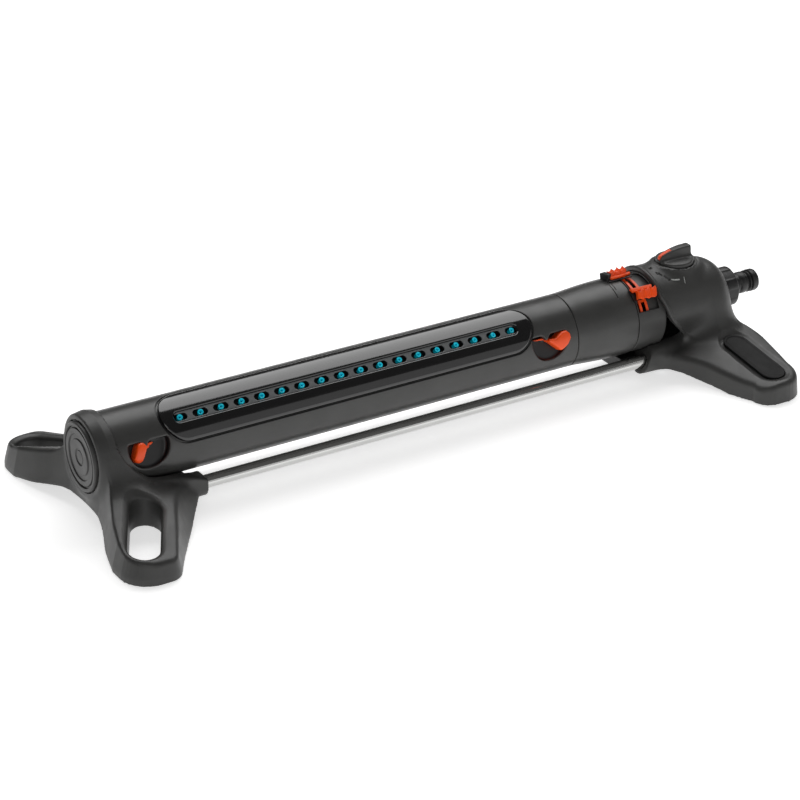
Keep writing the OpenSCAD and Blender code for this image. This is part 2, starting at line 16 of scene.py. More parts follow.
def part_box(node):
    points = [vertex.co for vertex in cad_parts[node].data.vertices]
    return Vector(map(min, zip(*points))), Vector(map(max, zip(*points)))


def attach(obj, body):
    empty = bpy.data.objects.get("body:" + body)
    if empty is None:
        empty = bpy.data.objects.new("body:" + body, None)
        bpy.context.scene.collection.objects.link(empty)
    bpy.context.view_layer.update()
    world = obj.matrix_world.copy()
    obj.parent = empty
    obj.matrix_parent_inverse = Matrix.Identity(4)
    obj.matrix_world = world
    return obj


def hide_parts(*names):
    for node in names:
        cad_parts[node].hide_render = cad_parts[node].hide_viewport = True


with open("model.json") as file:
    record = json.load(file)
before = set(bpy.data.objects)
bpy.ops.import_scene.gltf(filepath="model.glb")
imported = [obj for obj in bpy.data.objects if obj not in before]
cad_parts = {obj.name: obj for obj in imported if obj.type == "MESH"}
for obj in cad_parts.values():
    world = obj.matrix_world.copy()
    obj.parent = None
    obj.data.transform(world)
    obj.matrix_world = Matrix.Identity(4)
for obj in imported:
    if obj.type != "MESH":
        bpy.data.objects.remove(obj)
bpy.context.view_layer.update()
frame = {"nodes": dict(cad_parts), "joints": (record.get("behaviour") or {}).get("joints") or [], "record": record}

MM = 0.001
JOINTS = {joint["name"]: joint for joint in frame["joints"]}
BODIES = frame["record"]["behaviour"]["bodies"]
BODY_OF = {node: body for body, nodes in BODIES.items() for node in nodes}
SLOT_OF = {part["node"]: part["material_slot"] for part in frame["record"]["subparts"]}


def node_mm(name):
    """The lowest and highest corner of a CAD node, in millimetres."""
    low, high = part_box(name)
    return np.array(low) / MM, np.array(high) / MM


# ---------- sizes taken from the frame ----------

TUBE_LOW, TUBE_HIGH = node_mm("tube_shell")
TUBE_R = (TUBE_HIGH[1] - TUBE_LOW[1]) / 2
AXIS_Z = (TUBE_HIGH[2] + TUBE_LOW[2]) / 2
TUBE_X0 = TUBE_LOW[0]
TUBE_X1 = TUBE_HIGH[0]
BORE_R = TUBE_R - 3
HUB_X0 = node_mm("left_cap")[0][0]
SLEEVE_X1 = node_mm("range_sleeve")[1][0]
ROD_LOW, ROD_HIGH = node_mm("support_rod_front")
ROD_R = (ROD_HIGH[2] - ROD_LOW[2]) / 2
ROD_Y = -(ROD_LOW[1] + ROD_HIGH[1]) / 2
ROD_Z = (ROD_HIGH[2] + ROD_LOW[2]) / 2
KNOB_LOW, KNOB_HIGH = node_mm("flow_knob")
KNOB_X = (KNOB_LOW[0] + KNOB_HIGH[0]) / 2
KNOB_R = (KNOB_HIGH[0] - KNOB_LOW[0]) / 2
DISC_R = KNOB_R - 1.2
NUT_LOW, NUT_HIGH = node_mm("union_nut")
NIPPLE_LOW, NIPPLE_HIGH = node_mm("hose_nipple")
NIPPLE_R = 8.7
HALF_SPAN = node_mm("left_foot")[1][1]
LEVER_X = {side: JOINTS["width_" + side]["pos_m"][0] / MM for side in ("left", "right")}

# Places along X and lengths are in millimetres, and angles in degrees.
REST_SWING = 41.0
PANEL_ANGLE = 36.5
LEVER_ANGLE = 71.0
SLOT_X = -79.8
SLOT_LENGTH = 283.0
SLOT_HALF = 4.1
PANEL_X = -78.4
PANEL_LENGTH = 305.0
PANEL_HALF = 18.7
NOZZLES = 18
NOZZLE_PITCH = 16.0
NOZZLE_FAN = 12.0
NOZZLE_ROW_X = -79.4
NOZZLE_SEAT = 22
WING_TOP = 91.7
SLIDER_ARC = 0.59


# ---------- distance fields ----------

def smooth_min(a, b, k):
    """Union of two fields with a fillet about k wide."""
    h = np.maximum(k - np.abs(a - b), 0) / k
    return np.minimum(a, b) - h * h * k / 4


def smooth_max(a, b, k):
    """Intersection of two fields with a rounded edge about k wide."""
    return -smooth_min(-a, -b, k)


def radius(p):
    return np.hypot(p[..., 1], p[..., 2] - AXIS_Z)


def angle(p):
    return np.degrees(np.arctan2(-p[..., 1], p[..., 2] - AXIS_Z))


def at_angle(p, degrees, x=0.0):
    """Coordinates along X, sideways and outward, for a place at an angle on the tube."""
    a = math.radians(degrees)
    y, z = p[..., 1], p[..., 2] - AXIS_Z
    side = y * math.cos(a) + z * math.sin(a)
    out = -y * math.sin(a) + z * math.cos(a)
    return p[..., 0] - x, side, out


def segment(u, v, a, b):
    """Distance from (u, v) to the straight line from a to b."""
    ex, ey = b[0] - a[0], b[1] - a[1]
    wx, wy = u - a[0], v - a[1]
    t = np.clip((wx * ex + wy * ey) / (ex * ex + ey * ey), 0, 1)
    return np.hypot(wx - ex * t, wy - ey * t)


def capsule(u, v, length, half):
    """Distance to a round-ended bar along u, centred on 0."""
    straight = length / 2 - half
    return segment(u, v, (-straight, 0), (straight, 0)) - half


def box(u, v, half_u, half_v):
    qu, qv = np.abs(u) - half_u, np.abs(v) - half_v
    outside = np.hypot(np.maximum(qu, 0), np.maximum(qv, 0))
    return outside + np.minimum(np.maximum(qu, qv), 0)


def between(u, low, high):
    return np.maximum(low - u, u - high)


def polygon(u, v, points):
    """Signed distance to a closed outline."""
    best = np.full(np.shape(u), 1e9)
    sign = np.ones(np.shape(u))
    for (ax, ay), (bx, by) in zip(points, points[1:] + points[:1]):
        ex, ey = bx - ax, by - ay
        wx, wy = u - ax, v - ay
        t = np.clip((wx * ex + wy * ey) / (ex * ex + ey * ey), 0, 1)
        best = np.minimum(best, (wx - ex * t) ** 2 + (wy - ey * t) ** 2)
        if by != ay:
            crosses = ((ay > v) != (by > v)) & (u < ex * (v - ay) / ey + ax)
            sign = np.where(crosses, -sign, sign)
    return sign * np.sqrt(best)


ARC_POINTS = 10
CURVE_POINTS = 6


def arc(cx, cy, r, start, end):
    """Points on an arc, from one angle in degrees to another."""
    turns = np.radians(np.linspace(start, end, ARC_POINTS))
    return [(cx + r * math.cos(a), cy + r * math.sin(a)) for a in turns]


def curve(points):
    """A smooth line through open points."""
    pts = np.array([points[0], *points, points[-1]], float)
    out = []
    for i in range(1, len(pts) - 2):
        a, b, c, d = pts[i - 1 : i + 3]
        for t in np.arange(CURVE_POINTS) / CURVE_POINTS:
            out.append(0.5 * (2 * b + (c - a) * t + (2 * a - 5 * b + 4 * c - d) * t * t
                              + (3 * b - a - 3 * c + d) * t ** 3))
    out.append(pts[-1])
    return [(float(x), float(y)) for x, y in out]


def along(x, points):
    """Reads a smooth line of (x, value) points at x."""
    line = np.array(curve(points))
    return np.interp(x, line[:, 0], line[:, 1])


# ---------- meshing ----------

def steps(*stops):
    """Grid lines from (place, spacing) stops: each stretch is divided evenly."""
    lines = [stops[0][0]]
    for (a, spacing), (b, _) in zip(stops, stops[1:]):
        count = max(1, round((b - a) / spacing))
        lines.extend(a + (b - a) * (i + 1) / count for i in range(count))
    return np.array(lines)


def around_axis(p):
    """Maps (x, radius, angle) to a place about the tube axis."""
    a = np.radians(p[..., 2])
    return np.stack([p[..., 0], -p[..., 1] * np.sin(a), AXIS_Z + p[..., 1] * np.cos(a)], -1)


PROJECT_REACH = 0.04
NORMAL_REACH = 0.25
LONGEST_MOVE = 0.6


def slope(field, p, h):
    """The field's gradient at each place, from samples h to either side."""
    g = np.empty_like(p)
    for i in range(3):
        step = np.zeros(3)
        step[i] = h
        g[:, i] = (field(p + step) - field(p - step)) / (2 * h)
    return g


def solid(name, field, grid, warp=None, closed=False):
    """Meshes the surface where field is 0, with one vertex in each cell that it crosses.

    grid holds three lists of grid lines. warp maps them to places, and closed says that the
    third list goes all the way round. Each vertex is then moved onto the true surface.
    """
    place = warp or (lambda p: p)
    lines = [np.asarray(g, float) for g in grid]
    shape = tuple(len(g) for g in lines)
    value = np.empty(shape)
    for i, x in enumerate(lines[0]):
        p = np.stack(np.broadcast_arrays(x, *np.meshgrid(*lines[1:], indexing="ij")), -1)
        value[i] = field(place(p))
    inside = value < 0
    count = np.zeros(tuple(n - 1 for n in shape), int)
    for a, b, c in np.ndindex(2, 2, 2):
        count += inside[a : a + shape[0] - 1, b : b + shape[1] - 1, c : c + shape[2] - 1]
    cells = np.argwhere((count > 0) & (count < 8))
    total = np.zeros((len(cells), 3))
    hits = np.zeros(len(cells))
    for axis in range(3):
        for offset in np.ndindex(*[1 if i == axis else 2 for i in range(3)]):
            first = cells + offset
            last = first.copy()
            last[:, axis] += 1
            v0 = value[tuple(first.T)]
            v1 = value[tuple(last.T)]
            cut = (v0 < 0) != (v1 < 0)
            t = np.where(cut, v0 / np.where(cut, v0 - v1, 1), 0)
            spot = np.stack([lines[i][first[:, i]] for i in range(3)], -1)
            spot[:, axis] += t * (lines[axis][last[:, axis]] - spot[:, axis])
            total += np.where(cut[:, None], spot, 0)
            hits += cut
    verts = place(total / hits[:, None])
    index = np.full(count.shape, -1)
    index[tuple(cells.T)] = np.arange(len(cells))
    quads = []
    for axis in range(3):
        u, v = (axis + 1) % 3, (axis + 2) % 3
        head = [slice(None)] * 3
        tail = [slice(None)] * 3
        head[axis], tail[axis] = slice(0, -1), slice(1, None)
        here, there = inside[tuple(head)], inside[tuple(tail)]
        edges = np.argwhere(here != there)
        wrap_u, wrap_v = closed and u == 2, closed and v == 2
        good = np.ones(len(edges), bool)
        for w, wraps in ((u, wrap_u), (v, wrap_v)):
            good &= edges[:, w] < shape[w] - 1
            if not wraps:
                good &= edges[:, w] > 0
        edges = edges[good]
        corner = []
        for du, dv in ((-1, -1), (0, -1), (0, 0), (-1, 0)):
            cell = edges.copy()
            cell[:, u] = (cell[:, u] + du) % (shape[u] - 1)
            cell[:, v] = (cell[:, v] + dv) % (shape[v] - 1)
            corner.append(index[tuple(cell.T)])
        quad = np.stack(corner, -1)
        outward = here[tuple(edges.T)]
        quads.append(np.where(outward[:, None], quad, quad[:, ::-1]))
    quads = np.concatenate(quads)
    for _ in range(3):
        g = slope(field, verts, PROJECT_REACH)
        size = np.maximum((g * g).sum(1), 0.05)
        move = (field(verts) / size)[:, None] * g
        length = np.linalg.norm(move, axis=1, keepdims=True)
        verts = verts - move * np.minimum(1, LONGEST_MOVE / np.maximum(length, 1e-9))
    return mesh(name, verts, quads.tolist(), slope(field, verts, NORMAL_REACH))


def mesh(name, verts, faces, normals=None):
    """A smooth-shaded object from places in millimetres."""
    data = bpy.data.meshes.new(name)
    data.from_pydata((np.asarray(verts) * MM).tolist(), [], faces)
    data.polygons.foreach_set("use_smooth", [True] * len(data.polygons))
    if normals is not None:
        size = np.maximum(np.linalg.norm(normals, axis=1, keepdims=True), 1e-9)
        data.normals_split_custom_set_from_vertices((normals / size).tolist())
    obj = bpy.data.objects.new(name, data)
    bpy.context.scene.collection.objects.link(obj)
    return obj


def lathe(points, segments=128, ribs=None):
    """Vertices and faces of a closed shape turned about local Z, from (height, radius) points.

    ribs(angle, points) gives a change of radius for each point.
    """
    pts = np.array(points, float)
    rings = []
    for a in np.linspace(0, 2 * math.pi, segments, endpoint=False):
        r = pts[:, 1] + (ribs(a, pts) if ribs else 0)
        rings.append(np.stack([r * math.cos(a), r * math.sin(a), pts[:, 0]], -1))
    n = len(pts)
    faces = []
    for i in range(segments):
        j = (i + 1) % segments
        for k in range(n):
            m = (k + 1) % n
            faces.append((i * n + k, i * n + m, j * n + m, j * n + k))
    return np.concatenate(rings), faces


def lay_along_x(v):
    """Turns local Z into +X on the tube axis."""
    return np.stack([v[:, 2], v[:, 1], AXIS_Z - v[:, 0]], -1)


def turned(name, points, segments=128, ribs=None):
    """An object turned about the tube axis, with welded seams."""
    verts, faces = lathe(points, segments, ribs)
    obj = mesh(name, lay_along_x(verts), faces)
    weld(obj)
    keep_edges(obj)
    return obj


def weld(obj):
    """Joins doubled points, drops empty faces and turns every face outward."""
    work = bmesh.new()
    work.from_mesh(obj.data)
    bmesh.ops.remove_doubles(work, verts=work.verts, dist=1e-6)
    bmesh.ops.dissolve_degenerate(work, edges=work.edges, dist=1e-6)
    bmesh.ops.recalc_face_normals(work, faces=work.faces)
    work.to_mesh(obj.data)
    work.free()
    obj.data.polygons.foreach_set("use_smooth", [True] * len(obj.data.polygons))


SHARP_EDGE = 35


def keep_edges(obj):
    """Marks the edges sharper than SHARP_EDGE degrees, so that flat faces stay flat."""
    obj.data.set_sharp_from_angle(angle=math.radians(SHARP_EDGE))


def piece(obj, node, material=None):
    """Rides a piece on its CAD node's body, gives its finish, and hides that node."""
    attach(obj, BODY_OF[node])
    obj.data.materials.clear()
    obj.data.materials.append(material or NODE_MATERIALS[SLOT_OF[node]])
    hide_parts(node)
    return obj


# ---------- materials ----------

class Nodes:
    """A small helper that lays out one material."""

    def __init__(self, name):
        self.material = bpy.data.materials.new(name)
        self.material.use_nodes = True
        self.tree = self.material.node_tree
        self.shader = self.tree.nodes["Principled BSDF"]
        self.place = self.add("ShaderNodeTexCoord").outputs["Object"]

    def add(self, kind, **values):
        made = self.tree.nodes.new(kind)
        for key, value in values.items():
            if hasattr(made, key):
                setattr(made, key, value)
            else:
                made.inputs[key.replace("_", " ")].default_value = value
        return made

    def link(self, source, target):
        self.tree.links.new(source, target)

    def noise(self, scale, detail=3.0, roughness=0.55, stretch=None):
        made = self.add("ShaderNodeTexNoise")
        made.inputs["Scale"].default_value = scale
        made.inputs["Detail"].default_value = detail
        made.inputs["Roughness"].default_value = roughness
        place = self.place
        if stretch:
            mapping = self.add("ShaderNodeMapping")
            mapping.inputs["Scale"].default_value = stretch
            self.link(place, mapping.inputs["Vector"])
            place = mapping.outputs["Vector"]
        self.link(place, made.inputs["Vector"])
        return made.outputs["Fac"]

    def ramp(self, source, *stops):
        made = self.add("ShaderNodeValToRGB")
        elements = made.color_ramp.elements
        while len(elements) < len(stops):
            elements.new(0.5)
        for element, (at, colour) in zip(elements, stops):
            element.position = at
            element.color = (*colour, 1.0)
        self.link(source, made.inputs["Fac"])
        return made.outputs["Color"]

    def range(self, source, low, high, to_low, to_high):
        made = self.add("ShaderNodeMapRange")
        for key, value in (("From Min", low), ("From Max", high),
                           ("To Min", to_low), ("To Max", to_high)):
            made.inputs[key].default_value = value
        self.link(source, made.inputs["Value"])
        return made.outputs["Result"]

    def bump(self, source, strength, distance, below=None):
        made = self.add("ShaderNodeBump")
        made.inputs["Strength"].default_value = strength
        made.inputs["Distance"].default_value = distance
        self.link(source, made.inputs["Height"])
        if below is not None:
            self.link(below, made.inputs["Normal"])
        return made.outputs["Normal"]

    def set(self, **values):
        for key, value in values.items():
            self.shader.inputs[key.replace("_", " ")].default_value = value

    def to(self, name, source):
        self.link(source, self.shader.inputs[name])


def linear(*srgb):
    """sRGB numbers from 0 to 255 as linear light."""
    return tuple(((c / 255 + 0.055) / 1.055) ** 2.4 if c > 10 else c / 255 / 12.92 for c in srgb)


GRAIN_SIZE = 0.0006
GLOSS_ROUGH = 0.08


def plastic(name, colour, rough=0.42, grain=0.00005, sheen=0.5, tint=0.12):
    """Moulded plastic: spark-eroded grain, faint flow marks and handling polish."""
    n = Nodes(name)
    dark = tuple(c * (1 - tint) for c in colour)
    light = tuple(min(1, c * (1 + tint)) for c in colour)
    n.to("Base Color", n.ramp(n.noise(45, 5), (0.3, dark), (0.7, light)))
    n.to("Roughness", n.range(n.noise(70, 4, 0.6), 0.3, 0.7, rough - 0.05, rough + 0.06))
    fine = n.bump(n.noise(1 / GRAIN_SIZE, 2, 0.5), 0.35, grain)
    n.to("Normal", n.bump(n.noise(28, 2), 0.12, 0.0004, fine))
    n.set(Specular_IOR_Level=sheen)
    return n.material


def gloss_plastic(name, colour):
    """Polished black moulding with hairline wipe marks and a little dust."""
    n = Nodes(name)
    dark = tuple(c * 0.8 for c in colour)
    light = tuple(c * 1.25 for c in colour)
    n.to("Base Color", n.ramp(n.noise(160, 6, 0.7), (0.35, dark), (0.75, light)))
    hair = n.noise(260, 4, 0.6, (0.12, 1.0, 1.0))
    n.to("Roughness", n.range(hair, 0.35, 0.75, GLOSS_ROUGH, GLOSS_ROUGH + 0.07))
    n.to("Normal", n.bump(n.noise(18, 1), 0.05, 0.0004))
    n.set(Specular_IOR_Level=0.6, Coat_Weight=0.4, Coat_Roughness=0.04)
    return n.material


def rubber(name, colour, rough=0.5):
    """Soft elastomer with a fine satin skin."""
    n = Nodes(name)
    dark = tuple(c * 0.82 for c in colour)
    light = tuple(min(1, c * 1.15) for c in colour)
    n.to("Base Color", n.ramp(n.noise(350, 3), (0.3, dark), (0.7, light)))
    n.to("Roughness", n.range(n.noise(500, 3), 0.3, 0.7, rough - 0.07, rough + 0.07))
    n.to("Normal", n.bump(n.noise(2500, 2), 0.25, 0.00003))
    n.set(Specular_IOR_Level=0.45)
    return n.material


def metal(name, colour, rough, draw=(0.02, 1.0, 1.0)):
    """Drawn and polished metal: lines along the draw and faint handling haze."""
    n = Nodes(name)
    dark = tuple(c * 0.93 for c in colour)
    n.to("Base Color", n.ramp(n.noise(40, 4), (0.3, dark), (0.75, colour)))
    lines = n.noise(900, 3, 0.6, draw)
    n.to("Roughness", n.range(lines, 0.3, 0.75, rough, rough + 0.10))
    n.to("Normal", n.bump(lines, 0.02, 0.000002))
    n.set(Metallic=1.0)
    return n.material


def floor_material():
    n = Nodes("studio_floor")
    n.to("Base Color", n.ramp(n.noise(6, 3), (0.3, (0.86, 0.86, 0.86)), (0.7, (0.9, 0.9, 0.9))))
    n.set(Roughness=0.9, Emission_Color=(1, 1, 1, 1), Emission_Strength=0.62)
    return n.material


CHARCOAL = plastic("charcoal_moulding", linear(54, 54, 53))
CHARCOAL_TUBE = plastic("charcoal_tube", linear(58, 58, 57), rough=0.33)
# The black moulding colour is also painted on the lever and nozzle pockets as painted shade.
BLACK_AND_PAINTED_SHADE = plastic("black_moulding_and_painted_shade", linear(17, 17, 18), rough=0.4)
GLOSS = gloss_plastic("gloss_black", linear(14, 14, 15))
ORANGE = plastic("orange_moulding", linear(255, 82, 12), rough=0.4, grain=0.00003, tint=0.06)
TEAL = rubber("teal_nozzle", linear(0, 214, 240), rough=0.42)
SEAL = rubber("seal_rubber", linear(20, 20, 20))
CHROME = metal("chrome", (0.66, 0.66, 0.65), 0.1)
STEEL = metal("steel", (0.56, 0.57, 0.58), 0.28, (1.0, 1.0, 0.1))
ACETAL = plastic("natural_acetal", linear(226, 222, 210), rough=0.38, tint=0.03)
PLATE = plastic("plate_moulding", linear(11, 11, 11), rough=0.62, sheen=0.25)
LIGHT = plastic("light_mark", linear(168, 170, 168), rough=0.5, tint=0.03)
WEB = plastic("web_moulding", linear(112, 114, 115), rough=0.28, tint=0.04)
GREY = plastic("grey_moulding", linear(140, 144, 148), rough=0.5, tint=0.05)

NODE_MATERIALS = {
    "charcoal_plastic": CHARCOAL,
    "black_plastic": BLACK_AND_PAINTED_SHADE,
    "gloss_black": GLOSS,
    "orange_plastic": ORANGE,
    "teal_rubber": TEAL,
    "chrome_tube": CHROME,
    "gear_plastic": ACETAL,
    "motor_plastic": GREY,
    "seal_rubber": SEAL,
    "steel": STEEL,
}


def dress_cad_nodes():
    """Gives every carried-over CAD node the material of its slot."""
    for part in frame["record"]["subparts"]:
        obj = frame["nodes"][part["node"]]
        obj.data.materials.clear()
        obj.data.materials.append(NODE_MATERIALS[SLOT_OF[part["node"]]])


# ---------- camera, floor and light ----------

def camera():
    """Three-quarter view from the front left, above, with a long lens."""
    spot = Vector((-0.97427, -1.55578, 0.92762))
    back = Vector((-0.46564, -0.76535, 0.44431)).normalized()
    right = Vector((0, 0, 1)).cross(back).normalized()
    up = back.cross(right)
    data = bpy.data.cameras.new("camera")
    data.lens = 124.685
    data.sensor_width = 36
    data.clip_end = 30
    obj = bpy.data.objects.new("camera", data)
    obj.matrix_world = Matrix((
        (right.x, up.x, back.x, spot.x),
        (right.y, up.y, back.y, spot.y),
        (right.z, up.z, back.z, spot.z),
        (0, 0, 0, 1),
    ))
    bpy.context.scene.collection.objects.link(obj)
    bpy.context.scene.camera = obj


def area_light(name, spot, target, size, power):
    data = bpy.data.lights.new(name, "AREA")
    data.shape = "RECTANGLE"
    data.size, data.size_y = size
    data.energy = power
    obj = bpy.data.objects.new(name, data)
    obj.location = spot
    obj.rotation_euler = (Vector(target) - Vector(spot)).to_track_quat("-Z", "Y").to_euler()
    bpy.context.scene.collection.objects.link(obj)


def studio():
    reach = 14.0 / MM
    corners = [(-reach, -reach, 0), (reach, -reach, 0), (reach, reach, 0), (-reach, reach, 0)]
    floor = mesh("floor", corners, [(0, 1, 2, 3)])
    floor.location.z = -0.2 * MM
    floor.data.materials.append(floor_material())
    world = bpy.data.worlds.new("studio")
    world.use_nodes = True
    world.node_tree.nodes["Background"].inputs["Color"].default_value = (1.0, 0.99, 0.97, 1)
    world.node_tree.nodes["Background"].inputs["Strength"].default_value = 0.10
    bpy.context.scene.world = world
    area_light("overhead", (0.55, 0.75, 1.45), (0.35, 0.1, 0), (2.4, 1.3), 26)
    area_light("front_fill", (-1.2, -1.6, 1.1), (0, 0, 0.03), (0.9, 0.6), 4)
    area_light("front_card", (-0.3, -3.2, 0.75), (0, 0, 0.1), (6.5, 1.5), 16)
    area_light("side_fill", (1.5, -1.2, 0.8), (0.1, 0, 0.03), (0.6, 0.8), 1)
    view = bpy.context.scene.view_settings
    view.view_transform = "Standard"
    view.look = "None"


# ---------- the left foot ----------

CLEAR = 0.3
SOCKET_R = ROD_R + 0.05
WALL = 2.8


def foot_parts(p):
    return p[..., 0], np.abs(p[..., 1]), p[..., 2]


def screw_cut(x, s, z, screw_x):
    across = np.hypot(x - screw_x, s - ROD_Y)
    return np.minimum(np.maximum(across - 3.4, z - 5.95), np.maximum(across - 1.7, z - ROD_Z))


LEFT_OUTLINE = [
    (-284, -5),
    *curve([(-286.5, 22), (-291, 41), (-297.2, 60), (-301.7, 80)]),
    *arc(-279.8, HALF_SPAN - 22, 22, 184, 96),
    *arc(-274, HALF_SPAN - 13.5, 13.3, 90, 36),
    *curve([(-262.6, 106.4), (-247.4, 82.5), (-225.6, 54), (-209, 36), (-202.4, 26), (-201.5, 18)]),
    (-201.5, -5),
]


def left_hole(x, s):
    return segment(x, s, (-264, 55.6), (-282.8, 90.4)) - 11


def left_top(x, s):
    t = HALF_SPAN - 1 - s
    share = along(s, [(20, 1), (34, 0.95), (58, 0.46), (120, 0.46)])
    fall = 0.3 * smooth_max(x + 268, 0, 8) * share
    rise = 0.035 * np.clip(48 - s, 0, 18) ** 2 * np.clip((-246 - x) / 26, 0, 1)
    rim = np.clip((4.6 - left_hole(x, s)) / 4.2, 0, 1) ** 1.3
    return 15.5 + 0.2 * t + 0.0009 * t * t - fall + rise - 2.2 * rim


def left_foot(p):
    x, s, z = foot_parts(p)
    rho, turn = radius(p), np.abs(angle(p))
    middle = along(s, [(0, -240), (30, -252), (60, -268), (95, -281), (115, -281)])
    inner = np.clip((x - middle) / 24 + 0.5, 0, 1)
    right = along(s, [(10, 0.6), (30, 0.62), (56, 0.5), (84, 0.28), (112, 0.16)])
    draft = 0.26 + (right - 0.26) * inner
    wall = (polygon(x, s, LEFT_OUTLINE) + draft * smooth_max(z - 4, 0, 2)) / np.hypot(1, draft)
    top = left_top(x, s)
    leg = smooth_max(wall, (z - top) / 1.05, 3)
    arch = along(s, [(0, 10), (15, 10.5), (30, 10), (44, 7), (60, 3.4), (76, 0.6), (90, -3),
                     (120, -3)])
    leg = smooth_max(leg, arch - z, 1.5)
    rim = np.interp(x, [-285, -282.5, -275, -268.5, -220], [28.2, 30, 31.2, 29.8, 30])
    end = along(turn, [(40, -268.5), (60, -268), (78, -265.5), (96, -260.8), (112, -253.6),
                       (124, -245), (134, -235), (145, -226), (180, -222)])
    hub = smooth_max(smooth_max(rho - rim, x - end, 1.2), HUB_X0 + 2.4 - x, 1.4)
    body = smooth_min(leg, hub, 9)
    tower = segment(s, z, (ROD_Y, ROD_Z), (ROD_Y, ROD_Z + 9)) - ROD_R - 4
    tower = smooth_max(tower, z - along(x, [(-245, 29), (-230, 28), (-214, 24.5), (-201, 20)]), 2)
    tower = smooth_max(tower, between(x, -240, -202), 0.6)
    body = smooth_min(body, tower, 4)
    hollow = np.maximum(smooth_max(wall + WALL, z - top + 3, 2), 34 - s)
    hollow = np.maximum(hollow, WALL - left_hole(x, s))
    seat = np.maximum(rho - 26, x + 282.5)
    tube = np.maximum(rho - TUBE_R - np.interp(x, [-256, -250], [CLEAR, 2.3]), -276 - x)
    bore = np.maximum(rho - 12, x + 270)
    rod = np.maximum(np.hypot(s - ROD_Y, z - ROD_Z) - SOCKET_R, -232 - x)
    body = smooth_max(body, -left_hole(x, s), 1.6)
    body = smooth_max(body, -tube, 0.8)
    for cut in (hollow, seat, bore, rod, screw_cut(x, s, z, -222)):
        body = np.maximum(body, -cut)
    return np.maximum(body, -z)


# ---------- the right foot ----------

RIGHT_OUTLINE = [
    (175.5, -5),
    *curve([(175.5, 25.5), (186, 30), (196, 39), (206, 56), (212.5, 73), (219, 90)]),
    *arc(236, HALF_SPAN - 13.8, 13.3, 185, 94),
    *arc(243.8, HALF_SPAN - 22.2, 22, 90, -8),
    *curve([(267.6, 76), (269.4, 62), (270, 48), (266.6, 32), (259, 18)]),
    (259, -5),
]
BADGE = np.array([243.0, -72.6, 23.1])
BADGE_TILT = math.radians(11)
BADGE_TURN = math.radians(94)


def at_badge(p):
    """Coordinates along, across and out of the badge on the front right leg."""
    x, y, z = p[..., 0] - BADGE[0], p[..., 1] - BADGE[1], p[..., 2] - BADGE[2]
    flat = y * math.cos(BADGE_TILT) + z * math.sin(BADGE_TILT)
    out = -y * math.sin(BADGE_TILT) + z * math.cos(BADGE_TILT)
    u = x * math.cos(BADGE_TURN) + flat * math.sin(BADGE_TURN)
    v = -x * math.sin(BADGE_TURN) + flat * math.cos(BADGE_TURN)
    return u, v, out


def right_top(x, s):
    left = along(s, [(20, 184), (30, 191), (56, 205), (73, 212), (90, 218), (112, 226)])
    right = along(s, [(20, 261), (45, 265), (65, 268), (82, 267), (95, 262), (112, 252)])
    u = np.clip((x - left) / (right - left), 0, 1)
    low = along(s, [(20, 19.5), (40, 18.6), (57, 18), (73, 16), (88, 14), (112, 12)])
    high = along(s, [(20, 33), (45, 27), (65, 22.4), (80, 20), (95, 18), (115, 14.5)])
    crown = along(s, [(20, 5), (40, 4.5), (104, 2.5), (115, 2.2)])
    return low + (high - low) * u + 4 * crown * u * (1 - u)


DOME = [(186, 33.3), (205, 32.8), (225, 31.8), (240, 30.2), (247, 28.6), (252, 25.8),
        (255.5, 22.6), (257.6, 19.6), (262, 12)]


def around_knob(p):
    x, y = p[..., 0] - KNOB_X, p[..., 1]
    return np.degrees(np.arctan2(-y, x)), np.hypot(x, y)


def dome_cuts(p):
    """Engraved setting marks beside the knob: a dot and a tapered groove."""
    around, out = around_knob(p)
    dot = np.hypot(p[..., 0] - 194.2, p[..., 1] + 1.9) - 0.9
    wide = np.interp(around, [134, 142, 162], [1.2, 1.3, 0.2])
    groove = np.maximum(np.abs(out - 24.8) - wide, between(around, 134, 162) * 0.4)
    return np.maximum(np.minimum(dot, groove), 60 - p[..., 2])


def dial_marks(p):
    """Raised light setting marks beside the knob: a bar and a tick."""
    around, out = around_knob(p)
    bar = segment(around * 0.4, out, (46, 21.4), (52, 23.4)) - 0.45
    tick = segment(around * 0.4, out, (41.4, 19.8), (41.4, 22.6)) - 0.35
    plan = np.maximum(np.minimum(bar, tick), 60 - p[..., 2])
    skin = right_body(p)
    return np.maximum(plan, np.maximum(skin - 0.14, -0.6 - skin))


def dome_shell(p):
    x, s, z = foot_parts(p)
    rho, turn = radius(p), np.abs(angle(p))
    edge = along(turn, [(0, 186), (30, 186), (50, 186.2), (61, 188), (86.5, 193.5),
                        (107.6, 202.8), (129, 213.4), (150, 219), (180, 220)])
    shell = smooth_max(rho - along(x, DOME), (edge - x) / 1.1, 1.4)
    shell = smooth_max(shell, x - 258, 1.2)
    lip = np.abs(np.hypot(rho - 33.2, x - edge - 1.6)) - 0.9
    shell = smooth_min(shell, lip, 1.5)
    boss = np.maximum(np.hypot(x - KNOB_X, s) - DISC_R - 1.6, z - KNOB_LOW[2] + 0.4)
    return smooth_min(shell, boss, 9)


def right_leg(p):
    x, s, z = foot_parts(p)
    leg = smooth_max(polygon(x, s, RIGHT_OUTLINE) + 0.08 * z, (z - right_top(x, s)) / 1.1, 3.6)
    arch = along(s, [(20, 9), (38, 7), (56, 3.4), (73, 1.2), (90, -2), (120, -2)])
    leg = smooth_max(leg, arch - z, 1.2)
    tower = segment(s, z, (ROD_Y, ROD_Z), (ROD_Y, ROD_Z + 4)) - ROD_R - 4
    leg = smooth_min(leg, smooth_max(tower, between(x, 170, 206), 1.5), 4)
    return smooth_max(leg, (175 + 0.45 * (z - ROD_Z) - x) / 1.1, 0.8)


def right_body(p):
    blend = np.interp(p[..., 0], [196, 214, 236], [5, 13, 26])
    return smooth_min(dome_shell(p), right_leg(p), blend)


